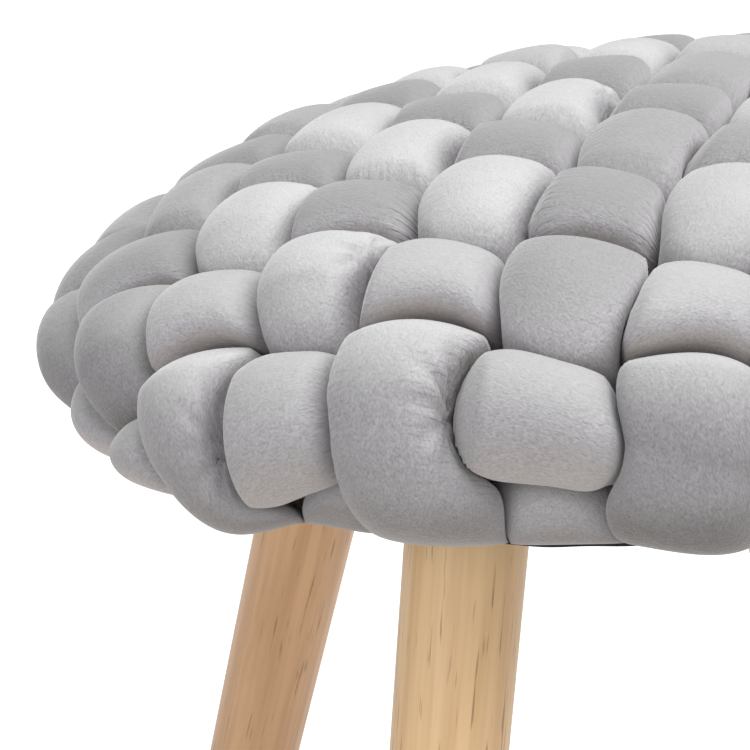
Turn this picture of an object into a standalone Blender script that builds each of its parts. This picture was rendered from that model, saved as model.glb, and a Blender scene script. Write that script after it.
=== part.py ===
"""Pouf stool: a padded round seat woven from stuffed velvet tubes, on four splayed wooden legs.

Metres, +Z up. The origin is on the floor, midway between the feet. The lengthwise tubes of the
weave run along Y and the crosswise tubes along X.

The weave is worked out flat and then draped over the seat. A place in the flat weave is
(x, y, level): x and y lie in the cloth plane, and level is the height over its outer side, so it
is negative inside. Draping keeps the distance from the weave's middle as arc length along the
seat's outline, over the dome, down the rim and in under the seat. Each tube fills the room that
its neighbours leave, up to its own full radius, which gives the pressed, pillowy shape.
"""
import math

import bmesh
import bpy
import numpy as np
from mathutils import Matrix, Vector
from mathutils.bvhtree import BVHTree

MODEL_NAME = "woven_pouf_stool"

# ---- the seat's outline -----------------------------------------------------------------------
# A pair of values holds across the lengthwise tubes and along them, with a smooth change between.
SEAT_TOP = 0.430            # height of the middle of the seat over the floor
SEAT_RADII = (0.2000, 0.1985)   # middle to rim, at the widest
DOME_RISE = 0.0721          # widest point up to the middle of the top
DOME_POWERS = (2.05, 2.43)  # superellipse power of the domed top
RIM_DROP = 0.0356           # widest point down to the underside
RIM_POWER = 2.2             # superellipse power of the rim under the widest point
UNDERSIDE_RADIUS = 0.1415   # where the rim's curve runs out, at the base
TILT_ACROSS = 0.0285        # rise of the seat's outside over its width, as the hand-made seat leans
TILT_ALONG = -0.0233

# ---- the base board, its cover and the core ---------------------------------------------------
BASE_RADIUS = 0.1375
BASE_THICKNESS = 0.015
COVER_RADIUS = 0.1410
COVER_THICKNESS = 0.0012
COVER_DROP = 0.0392         # widest point of the seat down to the cover's underside
CORE_RADIUS = 0.1385
CORE_DROP = 0.0797          # middle of the seat's top down to the middle of the core's top
CORE_SHOULDER = 0.0117      # the core's top falls this much from its middle to its edge

# ---- the weave --------------------------------------------------------------------------------
LENGTHWISE_SPACING = 0.042  # between the lengthwise tubes
LENGTHWISE_COUNT = 10
LENGTHWISE_FIRST = -0.1778  # x of the first one
FIRST_EXTRA = 0.0189        # the first lengthwise tube lies this much further out
LENGTHWISE_RADIUS = 0.0288  # of a tube where nothing presses on it
CROSSWISE_SPACING = 0.0498  # between the crosswise tubes
CROSSWISE_COUNT = 9
CROSSWISE_FIRST = -0.2031   # y of the first one
CROSSWISE_RADIUS = 0.0275
TUBE_FLATNESS = 0.95        # height of a tube's section over its width
WEAVE_SWING = 0.0195        # of a tube's centreline, over and under
WEAVE_LEVEL = -0.0420       # of the middle of the swing
WEAVE_DEPTH = 0.0888        # level of the core under the weave
ARC_FULLNESS = 0.58         # 0 makes the overs as short as the unders, 1 much longer
RIM_SPREAD = 0.289          # how far tubes keep their spacing round the rim, as an angle factor
PRESS_ROUNDING = 0.006      # of the edge where a tube turns from free to pressed
TAIL_MARGIN = 0.009         # a tube ends this far before the outline does
TAIL_PACE = 0.30            # pace of the over and under past the outermost crossing

# ---- the tubes' meshes ------------------------------------------------------------------------
RINGS_PER_CROSSING = 4
TUBE_SIDES = 8
ROOM_STEPS = 18             # halvings when the room round a tube is sought
TAIL_RINGS = ((0.55, 0.95), (0.18, 0.72), (0.0, 0.35))  # distance to the end over the spacing, size

# ---- the legs ---------------------------------------------------------------------------------
LEG_DEGREES = (-100.4, -12.7, 77.3, 169.6)  # direction of each leg, from +X
LEG_COUNT = len(LEG_DEGREES)
LEG_SPLAY = math.radians(18.5)
LEG_TOP_OFFSET = 0.1147     # middle of the seat to a leg's axis, at the board
LEG_TOP_RADIUS = 0.0210
LEG_FOOT_RADIUS = 0.0170
LEG_SIDES = 64
LEG_SPARE = 0.02            # of the turned leg past each cut

# ---- clearances -------------------------------------------------------------------------------
TOUCH_GAP = 0.0003          # between pieces that touch
PRESS_GAP = 0.0005          # between the pressed sides of two tubes
SETTLE_STEP = 0.00025
SETTLE_ROUNDS = 120
ROUND_SIDES = 48
CURVE_POINTS = 400          # along each half of the seat's outline

# ---- levels over the floor --------------------------------------------------------------------
RIM_HEIGHT = SEAT_TOP - DOME_RISE
COVER_BOTTOM = RIM_HEIGHT - COVER_DROP
BASE_BOTTOM = COVER_BOTTOM + COVER_THICKNESS + TOUCH_GAP
BASE_TOP = BASE_BOTTOM + BASE_THICKNESS
CORE_BOTTOM = BASE_TOP + TOUCH_GAP
CORE_TOP = SEAT_TOP - CORE_DROP

# name: colour, roughness
FINISHES = {
    "lengthwise_velvet": ((0.62, 0.61, 0.63), 0.95),
    "crosswise_velvet": ((0.46, 0.45, 0.47), 0.95),
    "core_cloth": ((0.10, 0.10, 0.11), 0.95),
    "black_cloth": ((0.02, 0.02, 0.02), 0.9),
    "board_wood": ((0.45, 0.32, 0.20), 0.7),
    "leg_wood": ((0.66, 0.45, 0.27), 0.45),
}


# ---- scene ------------------------------------------------------------------------------------
def clear_scene():
    """Removes every object, so that the part is alone in the file."""
    for old in list(bpy.data.objects):
        bpy.data.objects.remove(old)


def make_collection(name):
    """Adds a collection to the scene."""
    made = bpy.data.collections.new(name)
    bpy.context.scene.collection.children.link(made)
    return made


def make_material(name):
    """Makes the Principled material of one finish."""
    colour, roughness = FINISHES[name]
    material = bpy.data.materials.new(name)
    material.use_nodes = True
    shader = material.node_tree.nodes["Principled BSDF"]
    shader.inputs["Base Color"].default_value = (*colour, 1.0)
    shader.inputs["Roughness"].default_value = roughness
    shader.inputs["Metallic"].default_value = 0.0
    return material


def add_object(name, mesh, collection, material=None):
    """Puts a mesh into the scene as one piece."""
    piece = bpy.data.objects.new(name, mesh)
    collection.objects.link(piece)
    if material is not None:
        mesh.materials.append(material)
    return piece


# ---- the seat's outline, as arc length --------------------------------------------------------
def outline_curves(seat_radius, power):
    """The outside of the seat and the side of the core that faces it, point for point.

    Gives the arc length, and rows of outer radius, outer height, inner radius and inner height.
    """
    turn = np.linspace(0.0, math.pi / 2, CURVE_POINTS)
    sine = np.sin(turn)
    cosine = np.cos(turn)
    tuck = seat_radius - UNDERSIDE_RADIUS
    rim_out = UNDERSIDE_RADIUS + tuck * cosine ** (2 / RIM_POWER)
    rim_up = RIM_HEIGHT - RIM_DROP * sine ** (2 / RIM_POWER)
    core_up = CORE_TOP - CORE_SHOULDER * (1 - cosine ** (2 / power))
    side_up = core_up[-1] + (BASE_BOTTOM - core_up[-1]) * sine ** (2 / RIM_POWER)
    curves = np.array([
        np.append(seat_radius * sine ** (2 / power), rim_out[1:]),
        np.append(RIM_HEIGHT + DOME_RISE * cosine ** (2 / power), rim_up[1:]),
        np.append(CORE_RADIUS * sine ** (2 / power), np.full(CURVE_POINTS - 1, CORE_RADIUS)),
        np.append(core_up, side_up[1:]),
    ])
    steps = np.hypot(np.diff(curves[0]), np.diff(curves[1]))
    return np.append(0.0, np.cumsum(steps)), curves


OUTLINES = [outline_curves(radius, power) for radius, power in zip(SEAT_RADII, DOME_POWERS)]
CORE_CURVE = OUTLINES[0][1][2:]


def outline_length(x, y):
    """Arc length from the middle of the seat's top to the base, in the direction of a place."""
    across = np.cos(np.arctan2(y, x)) ** 2
    return OUTLINES[0][0][-1] * across + OUTLINES[1][0][-1] * (1 - across)


def drape(x, y, level):
    """Takes places in the flat weave to places on the seat."""
    angle = np.arctan2(y, x)
    across = np.cos(angle) ** 2
    share = np.minimum(np.hypot(x, y) / outline_length(x, y), 1.0)
    rows = np.zeros((4,) + np.shape(share))
    for part, (arc, curves) in zip((across, 1 - across), OUTLINES):
        rows += part * np.array([np.interp(share * arc[-1], arc, curve) for curve in curves])
    depth = -level / WEAVE_DEPTH
    radius = rows[0] * (1 - depth) + rows[2] * depth
    up = rows[1] * (1 - depth) + rows[3] * depth
    distance = share * outline_length(x, y)
    gathered = np.clip(distance / np.maximum(rows[0], 1e-6) - 1, 0, 0.56)
    angle = angle + RIM_SPREAD * gathered * np.sin(4 * angle)
    seat_x = radius * np.cos(angle)
    seat_y = radius * np.sin(angle)
    up = up + (TILT_ACROSS * seat_x + TILT_ALONG * seat_y) * (1 - depth)
    return np.stack([seat_x, seat_y, up], axis=-1)


# ---- the flat weave ---------------------------------------------------------------------------
def tube_places(lengthwise):
    """Places of one family's tubes, across their own direction."""
    if not lengthwise:
        return CROSSWISE_FIRST + CROSSWISE_SPACING * np.arange(CROSSWISE_COUNT)
    places = LENGTHWISE_FIRST + LENGTHWISE_SPACING * np.arange(LENGTHWISE_COUNT)
    places[0] -= FIRST_EXTRA
    return places


class Tube:
    """One stuffed tube of the flat weave.

    A lengthwise tube runs along y at one x, and a crosswise tube along x at one y. A lengthwise
    tube is over where the two tubes' numbers add up to an even number.
    """

    def __init__(self, lengthwise, number):
        self.lengthwise = lengthwise
        self.number = number
        self.crossing = CROSSWISE_SPACING if lengthwise else LENGTHWISE_SPACING
        self.side = tube_places(lengthwise)[number]
        self.crossed = tube_places(not lengthwise)
        self.radius = LENGTHWISE_RADIUS if lengthwise else CROSSWISE_RADIUS
        self.half_length = self.reach_to_base() - TAIL_MARGIN
        self.name = f"{'lengthwise' if lengthwise else 'crosswise'}_tube_{number + 1}"
        run = np.arange(-1.2 * self.half_length, 1.2 * self.half_length, self.crossing / 24)
        self.path = np.stack([run, self.level(run) / TUBE_FLATNESS], axis=1)

    def reach_to_base(self):
        """Distance along the tube from its middle to the end of the seat's outline."""
        reach = SEAT_RADII[0]
        for _ in range(8):
            x, y = (self.side, reach) if self.lengthwise else (reach, self.side)
            reach = math.sqrt(float(outline_length(x, y)) ** 2 - self.side ** 2)
        return reach

    def crossings(self, along):
        """Place along the tube, counted in crossings, slower past the outermost ones."""
        last = len(self.crossed) - 1
        count = np.interp(along, self.crossed, np.arange(last + 1))
        before = np.minimum(along - self.crossed[0], 0)
        after = np.maximum(along - self.crossed[-1], 0)
        return count + (before + after) * TAIL_PACE / self.crossing

    def level(self, along):
        """Level of the centreline, with long overs and short unders."""
        swing = np.cos(math.pi * (self.crossings(along) - self.number))
        swing = swing if self.lengthwise else -swing
        return WEAVE_LEVEL + WEAVE_SWING * (swing + ARC_FULLNESS * (1 - swing ** 2))

    def flat(self, across, along, level):
        """Turns the tube's own directions into the weave's x, y and level."""
        if self.lengthwise:
            return across, along, level
        return along, across, level

    def distance(self, x, y, level):
        """Distance to the centreline, with heights stretched to suit the flattened section."""
        across, along = (x, y) if self.lengthwise else (y, x)
        reach = 1.1 * self.crossing
        near = np.abs(self.path[:, 0] - along.mean()) < reach + 0.5 * np.ptp(along)
        path = self.path[near]
        run = along[..., None] - path[:, 0]
        rise = level[..., None] / TUBE_FLATNESS - path[:, 1]
        return np.hypot(across - self.side, np.hypot(run, rise).min(axis=-1))

    def ring_places(self):
        """Places of the rings along the tube and their sizes, with a rounded tail at each end."""
        pitch = self.crossing / RINGS_PER_CROSSING
        tails = [(self.half_length - self.crossing * back, size) for back, size in TAIL_RINGS]
        limit = tails[0][0] - 0.4 * pitch
        count = int(2.5 * self.half_length / pitch)
        places = self.crossed[-1] + pitch * np.arange(-count, count + 1)
        body = [(float(place), 1.0) for place in places if abs(place) <= limit]
        return [(-place, size) for place, size in reversed(tails)] + body + tails


def smooth_larger(first, second):
    """The larger of two values, with a rounded change-over."""
    blend = np.clip(0.5 + 0.5 * (first - second) / PRESS_ROUNDING, 0, 1)
    return second + (first - second) * blend + PRESS_ROUNDING * blend * (1 - blend)


def overrun(tube, neighbours, across, along, level):
    """How far places round a tube are past its radius, its neighbours' sides or the core."""
    x, y, level = tube.flat(across, along, level)
    own = tube.distance(x, y, level)
    past = own - tube.radius
    for other in neighbours:
        past = smooth_larger(past, (own - other.distance(x, y, level) + PRESS_GAP) / 2)
    return smooth_larger(past, -WEAVE_DEPTH + PRESS_GAP - level)


def neighbours_at(tube, tubes, along):
    """The tubes that can press on a tube at one place of its length."""
    near = []
    for other in tubes:
        if other.lengthwise == tube.lengthwise:
            if abs(other.number - tube.number) == 1:
                near.append(other)
        elif abs(other.side - along) < 1.6 * tube.crossing:
            near.append(other)
    return near


def ring(tube, tubes, along, size):
    """Works out one ring of a tube: its centre and the points round it, on the seat."""
    turn = 2 * math.pi * (np.arange(TUBE_SIDES) + 0.5) / TUBE_SIDES
    sideways = np.cos(turn)
    upward = np.sin(turn) * TUBE_FLATNESS
    run = np.full(TUBE_SIDES, along)
    middle = float(tube.level(np.array(along)))
    near = neighbours_at(tube, tubes, along)
    inside = np.zeros(TUBE_SIDES)
    outside = np.full(TUBE_SIDES, 1.1 * tube.radius)
    for _ in range(ROOM_STEPS):
        reach = (inside + outside) / 2
        past = overrun(tube, near, tube.side + reach * sideways, run, middle + reach * upward)
        inside = np.where(past < 0, reach, inside)
        outside = np.where(past < 0, outside, reach)
    reach = inside * size
    points = drape(*tube.flat(tube.side + reach * sideways, run, middle + reach * upward))
    centre = drape(*tube.flat(np.array([tube.side]), np.array([along]), np.array([middle])))
    return centre[0], points


def tube_faces(rings):
    """Triangles between the rings, and a fan that closes each end."""
    faces = []
    for row in range(rings - 1):
        for corner in range(TUBE_SIDES):
            step = (corner + 1) % TUBE_SIDES
            low = row * TUBE_SIDES
            high = low + TUBE_SIDES
            faces.append((low + corner, low + step, high + step))
            faces.append((low + corner, high + step, high + corner))
    last = (rings - 1) * TUBE_SIDES
    for corner in range(1, TUBE_SIDES - 1):
        faces.append((0, corner + 1, corner))
        faces.append((last, last + corner, last + corner + 1))
    return faces


class TubeShell:
    """A tube's points on the seat, and the ring centres that they can be drawn in towards."""

    def __init__(self, tube, tubes):
        rings = [ring(tube, tubes, along, size) for along, size in tube.ring_places()]
        self.tube = tube
        self.centres = np.repeat(np.array([centre for centre, _ in rings]), TUBE_SIDES, axis=0)
        self.points = np.concatenate([points for _, points in rings])
        self.faces = tube_faces(len(rings))

    def inward(self):
        """Unit directions from the points to their ring centres."""
        lines = self.centres - self.points
        return lines / np.linalg.norm(lines, axis=1)[:, None]

    def skin(self):
        """Search tree of the shell, half a touching gap proud."""
        proud = self.points - self.inward() * TOUCH_GAP / 2
        return BVHTree.FromPolygons(proud.tolist(), self.faces, all_triangles=True)

    def draw_in(self, faces):
        """Draws the points of some faces a step towards the centreline."""
        corners = sorted({corner for face in faces for corner in self.faces[face]})
        self.points[corners] += self.inward()[corners] * SETTLE_STEP


def settle(shells, solids):
    """Draws tubes in where they still meet each other or the solids of the base."""
    fixed = [BVHTree.FromBMesh(solid) for solid in solids]
    for _ in range(SETTLE_ROUNDS):
        trees = [shell.skin() for shell in shells]
        met = [set() for _ in shells]
        for first, shell in enumerate(shells):
            for second in range(first + 1, len(shells)):
                for mine, theirs in trees[first].overlap(trees[second]):
                    met[first].add(mine)
                    met[second].add(theirs)
            for solid in fixed:
                met[first].update(mine for mine, _ in trees[first].overlap(solid))
        if not any(met):
            return
        for shell, faces in zip(shells, met):
            shell.draw_in(faces)


# ---- solids under the weave -------------------------------------------------------------------
def turned_core(collection, material):
    """The round pad under the weave, turned from its outline."""
    outline = CORE_CURVE[:, : CURVE_POINTS : CURVE_POINTS // 8].T.copy()
    outline[:, 1] -= TOUCH_GAP
    outline = np.vstack([outline, (CORE_RADIUS, CORE_CURVE[1, CURVE_POINTS - 1] - TOUCH_GAP)])
    outline[:, 0] -= TOUCH_GAP * outline[:, 0] / CORE_RADIUS
    points = [(float(out), 0.0, float(up)) for out, up in outline]
    points.append((CORE_RADIUS - TOUCH_GAP, 0.0, CORE_BOTTOM))
    points.append((0.0, 0.0, CORE_BOTTOM))
    mesh = bpy.data.meshes.new("seat_core")
    mesh.from_pydata(points, [(corner, corner + 1) for corner in range(len(points) - 1)], [])
    core = add_object("seat_core", mesh, collection, material)
    turning = core.modifiers.new("turned", "SCREW")
    turning.angle = 2 * math.pi
    turning.steps = ROUND_SIDES
    turning.render_steps = ROUND_SIDES
    turning.use_merge_vertices = True
    turning.merge_threshold = 0.0001
    turning.use_smooth_shade = True
    return core


def disc(name, radius, bottom, thickness, collection, material):
    """A flat round piece."""
    bpy.ops.mesh.primitive_cylinder_add(
        vertices=ROUND_SIDES, radius=radius, depth=thickness, location=(0, 0, bottom + thickness / 2))
    piece = bpy.context.object
    piece.name = name
    piece.data.name = name
    piece.data.materials.append(material)
    for old in list(piece.users_collection):
        old.objects.unlink(piece)
    collection.objects.link(piece)
    return piece


# ---- legs -------------------------------------------------------------------------------------
def leg_ends(number):
    """Middle of a leg at the board's underside and at the floor."""
    angle = math.radians(LEG_DEGREES[number])
    outward = Vector((math.cos(angle), math.sin(angle), 0.0))
    top = outward * LEG_TOP_OFFSET + Vector((0, 0, BASE_BOTTOM))
    foot = outward * (LEG_TOP_OFFSET + BASE_BOTTOM * math.tan(LEG_SPLAY))
    return top, foot


def turned_leg(number, clearance):
    """A straight taper along a leg's axis, longer than the leg by the spare at each end."""
    top, foot = leg_ends(number)
    axis = (top - foot).normalized()
    length = (top - foot).length
    taper = (LEG_FOOT_RADIUS - LEG_TOP_RADIUS) / length
    turned = bmesh.new()
    place = Matrix.Translation((top + foot) / 2) @ axis.to_track_quat("Z", "Y").to_matrix().to_4x4()
    bmesh.ops.create_cone(
        turned, cap_ends=True, segments=LEG_SIDES, matrix=place, depth=length + 2 * LEG_SPARE,
        radius1=LEG_FOOT_RADIUS + taper * LEG_SPARE + clearance,
        radius2=LEG_TOP_RADIUS - taper * LEG_SPARE + clearance)
    return turned


def cut_level(shape, height, keep_below):
    """Cuts a shape level and closes the cut."""
    everything = list(shape.verts) + list(shape.edges) + list(shape.faces)
    cut = bmesh.ops.bisect_plane(
        shape, geom=everything, plane_co=(0, 0, height), plane_no=(0, 0, 1 if keep_below else -1),
        clear_outer=True)
    rim = [item for item in cut["geom_cut"] if isinstance(item, bmesh.types.BMEdge)]
    bmesh.ops.edgeloop_fill(shape, edges=rim)
    bmesh.ops.recalc_face_normals(shape, faces=shape.faces)


def add_leg(number, collection, material):
    """A leg, cut level against the board and at the floor."""
    name = f"leg_{number + 1}"
    turned = turned_leg(number, 0.0)
    cut_level(turned, BASE_BOTTOM - TOUCH_GAP, keep_below=True)
    cut_level(turned, 0.0, keep_below=False)
    mesh = bpy.data.meshes.new(name)
    turned.to_mesh(mesh)
    turned.free()
    mesh.shade_smooth()
    mesh.set_sharp_from_angle(angle=math.radians(40))
    return add_object(name, mesh, collection, material)


def add_leg_cutter(number, collection):
    """The shape that a leg's hole in the cover is cut with."""
    name = f"leg_hole_{number + 1}"
    turned = turned_leg(number, TOUCH_GAP)
    mesh = bpy.data.meshes.new(name)
    turned.to_mesh(mesh)
    turned.free()
    cutter = add_object(name, mesh, collection)
    cutter.hide_render = True
    cutter.display_type = "WIRE"
    return cutter


def add_cover(collection, cutters, material):
    """The thin black cloth under the board, with a hole for each leg."""
    cover = disc("under_cover", COVER_RADIUS, COVER_BOTTOM, COVER_THICKNESS, collection, material)
    for number in range(LEG_COUNT):
        hole = cover.modifiers.new(f"leg_hole_{number + 1}", "BOOLEAN")
        hole.operation = "DIFFERENCE"
        hole.solver = "EXACT"
        hole.object = add_leg_cutter(number, cutters)
    return cover


# ---- the weave's pieces -----------------------------------------------------------------------
def evaluated_shape(piece):
    """A piece's finished mesh as a BMesh in world space."""
    depsgraph = bpy.context.evaluated_depsgraph_get()
    shape = bmesh.new()
    shape.from_object(piece, depsgraph)
    shape.transform(piece.matrix_world)
    return shape


def add_tubes(collection, solids, lengthwise_material, crosswise_material):
    """All the tubes of the weave, settled against each other and the base."""
    tubes = [Tube(True, number) for number in range(LENGTHWISE_COUNT)]
    tubes += [Tube(False, number) for number in range(CROSSWISE_COUNT)]
    shells = [TubeShell(tube, tubes) for tube in tubes]
    settle(shells, [evaluated_shape(solid) for solid in solids])
    for shell in shells:
        mesh = bpy.data.meshes.new(shell.tube.name)
        mesh.from_pydata(shell.points.tolist(), [], shell.faces)
        shape = bmesh.new()
        shape.from_mesh(mesh)
        bmesh.ops.recalc_face_normals(shape, faces=shape.faces)
        shape.to_mesh(mesh)
        shape.free()
        mesh.shade_smooth()
        material = lengthwise_material if shell.tube.lengthwise else crosswise_material
        add_object(shell.tube.name, mesh, collection, material)


def main():
    """Builds the stool."""
    clear_scene()
    stool = make_collection(MODEL_NAME)
    cutters = make_collection("cutters")
    board = disc("base_board", BASE_RADIUS, BASE_BOTTOM, BASE_THICKNESS, stool, make_material("board_wood"))
    cover = add_cover(stool, cutters, make_material("black_cloth"))
    core = turned_core(stool, make_material("core_cloth"))
    leg_wood = make_material("leg_wood")
    for number in range(LEG_COUNT):
        add_leg(number, stool, leg_wood)
    bpy.context.view_layer.update()
    add_tubes(
        stool, (board, cover, core), make_material("lengthwise_velvet"), make_material("crosswise_velvet"))


main()
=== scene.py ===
"""Looks of a woven pouf stool: stuffed velvet tubes over a covered board on four wooden legs."""
import logging
from dataclasses import dataclass, field
from enum import Enum
from math import atan2, cos, floor, pi, radians, sin, sqrt, tan
from typing import Any

import bpy
import numpy as np
from bpy.types import ID, Material, Node, NodeSocket, Object
from mathutils import Matrix, Vector
from mathutils.geometry import delaunay_2d_cdt


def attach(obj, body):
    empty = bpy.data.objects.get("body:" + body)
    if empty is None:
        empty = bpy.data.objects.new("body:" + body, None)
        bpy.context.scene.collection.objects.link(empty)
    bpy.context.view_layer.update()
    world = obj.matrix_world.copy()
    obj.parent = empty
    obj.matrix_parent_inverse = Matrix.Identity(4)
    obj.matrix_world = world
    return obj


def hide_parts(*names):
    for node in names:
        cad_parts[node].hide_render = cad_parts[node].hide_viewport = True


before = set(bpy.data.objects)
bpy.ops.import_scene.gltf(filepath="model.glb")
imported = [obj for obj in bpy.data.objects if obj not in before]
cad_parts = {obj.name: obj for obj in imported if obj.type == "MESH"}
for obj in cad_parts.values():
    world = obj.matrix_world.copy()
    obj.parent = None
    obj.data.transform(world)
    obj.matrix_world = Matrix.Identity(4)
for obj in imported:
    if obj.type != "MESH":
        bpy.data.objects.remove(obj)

LOG = logging.getLogger("woven_pouf_stool")
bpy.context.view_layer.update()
BODY = "root"

Array = np.ndarray
Colour = tuple[float, float, float]


class Family(Enum):
    """The two families of tubes in the weave."""

    LENGTHWISE = "lengthwise"
    CROSSWISE = "crosswise"

    @property
    def other(self) -> "Family":
        """The family that this one crosses."""
        return Family.CROSSWISE if self is Family.LENGTHWISE else Family.LENGTHWISE


class Nap(Enum):
    """How a tube's pile lies, seen from the front: its brightness facing up, front and down, partly
    the pile's own lie and partly painted light and shade by the way each part faces, with the
    undersides painted darker on most lengthwise tubes and lighter on the crosswise ones.
    """

    PALE = (0.46, 0.34, 0.25)
    SOFT = (0.395, 0.4, 0.46)
    EVEN = (0.38, 0.38, 0.41)
    DEEP = (0.265, 0.39, 0.46)
    TURNED = (0.29, 0.405, 0.27)
    LOW = (0.41, 0.3, 0.18)
    FLAT = (0.31, 0.26, 0.2)


def add_object(name: str, data: ID) -> Object:
    """Puts a new object into the scene.

    Args:
        name: Its name.
        data: Its mesh, light or camera.

    Returns:
        The object.
    """
    made = bpy.data.objects.new(name, data)
    bpy.context.scene.collection.objects.link(made)
    return made


# ---- shader helpers ----
@dataclass(frozen=True)
class Value:
    """A number that varies over a surface, with arithmetic that adds Math nodes."""

    paint: "Paint"
    socket: NodeSocket

    def maths(self, operation: str, *terms: Any) -> "Value":
        """Adds one Math node, with its inputs in order."""
        return self.paint.value("ShaderNodeMath", {"operation": operation}, dict(enumerate(terms)))

    def __add__(self, other: Any) -> "Value":
        """Sum."""
        return self.maths("ADD", self, other)

    def __radd__(self, other: Any) -> "Value":
        """Sum, with the number first."""
        return self.maths("ADD", other, self)

    def __sub__(self, other: Any) -> "Value":
        """Difference."""
        return self.maths("SUBTRACT", self, other)

    def __rsub__(self, other: Any) -> "Value":
        """Difference, with the number first."""
        return self.maths("SUBTRACT", other, self)

    def __mul__(self, other: Any) -> "Value":
        """Product."""
        return self.maths("MULTIPLY", self, other)

    def __rmul__(self, other: Any) -> "Value":
        """Product, with the number first."""
        return self.maths("MULTIPLY", other, self)

    def ramp(self, low: float, high: float) -> "Value":
        """Rises smoothly from 0 at low to 1 at high."""
        inputs = {"Value": self, "From Min": low, "From Max": high}
        return self.paint.value("ShaderNodeMapRange", {"interpolation_type": "SMOOTHSTEP"}, inputs)


class Paint:
    """One material and its node tree."""

    def __init__(self, name: str) -> None:
        """Makes the material with an empty Principled finish.

        Args:
            name: Name of the material.
        """
        self.material = bpy.data.materials.new(name)
        self.material.use_nodes = True
        self.tree = self.material.node_tree
        self.shader = self.tree.nodes["Principled BSDF"]

    def node(self, kind: str, settings: dict[str, Any], inputs: dict[Any, Any]) -> Node:
        """Adds one node.

        Args:
            kind: Type of the node.
            settings: Properties to set first.
            inputs: Values or links, by the socket's name or number.

        Returns:
            The node.
        """
        made = self.tree.nodes.new(kind)
        for name, setting in settings.items():
            setattr(made, name, setting)
        for key, given in inputs.items():
            self.feed(made.inputs[key], given)
        return made

    def feed(self, socket: NodeSocket, given: Any) -> None:
        """Links a socket, or sets its value.

        Args:
            socket: The socket.
            given: A value, a socket, or a plain number or tuple.
        """
        if isinstance(given, Value):
            given = given.socket
        if isinstance(given, NodeSocket):
            self.tree.links.new(given, socket)
        else:
            socket.default_value = given

    def value(
        self, kind: str, settings: dict[str, Any], inputs: dict[Any, Any], output: Any = 0
    ) -> Value:
        """Adds a node and takes one of its outputs as a number."""
        return Value(self, self.node(kind, settings, inputs).outputs[output])

    def own(self) -> NodeSocket:
        """The surface's own coordinates."""
        return self.node("ShaderNodeTexCoord", {}, {}).outputs["Object"]

    def mapped(self, where: NodeSocket, **inputs: Colour) -> NodeSocket:
        """Coordinates moved, turned and scaled by a Location, Rotation and Scale."""
        return self.node("ShaderNodeMapping", {}, {"Vector": where, **inputs}).outputs[0]

    def vector(self, across: Any, along: Any) -> NodeSocket:
        """Flat coordinates made of two numbers."""
        return self.node("ShaderNodeCombineXYZ", {}, {0: across, 1: along}).outputs[0]

    def noise(
        self, where: NodeSocket, scale: float, detail: float, rough: float = 0.5, twist: float = 0.0
    ) -> Value:
        """Smooth noise round 0.5, with scale in cells a metre and detail in finer layers."""
        inputs = {"Vector": where, "Scale": scale, "Detail": detail, "Roughness": rough}
        return self.value("ShaderNodeTexNoise", {}, {**inputs, "Distortion": twist})

    def attribute(self, name: str) -> Value:
        """A number that the piece stores at every point."""
        return self.value("ShaderNodeAttribute", {"attribute_name": name}, {}, "Fac")

    def blend(self, share: Any, first: Any, second: Any, how: str = "MIX") -> NodeSocket:
        """Mixes two colours, by the share of the second."""
        settings = {"data_type": "RGBA", "blend_type": how}
        return self.node("ShaderNodeMix", settings, {0: share, 6: first, 7: second}).outputs[2]

    def bump(
        self, height: Value, distance: float, strength: float = 1.0, **under: NodeSocket
    ) -> NodeSocket:
        """Raises the surface's shading by so many metres, over another bump if one is given."""
        inputs = {"Height": height, "Distance": distance, "Strength": strength, **under}
        return self.node("ShaderNodeBump", {}, inputs).outputs[0]

    def finish(self, colour: Any, roughness: Any, others: dict[str, Any]) -> Material:
        """Sets the Principled finish.

        Args:
            colour: Base colour.
            roughness: Roughness.
            others: Other sockets, by their names.

        Returns:
            The material.
        """
        for name, given in {"Base Color": colour, "Roughness": roughness, **others}.items():
            self.feed(self.shader.inputs[name], given)
        return self.material


def grey(level: float, red: float = 1.0, blue: float = 1.0) -> tuple[float, float, float, float]:
    """A near-neutral colour with alpha, from its green and the shares of red and blue."""
    return (level * red, level, level * blue, 1.0)


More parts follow.
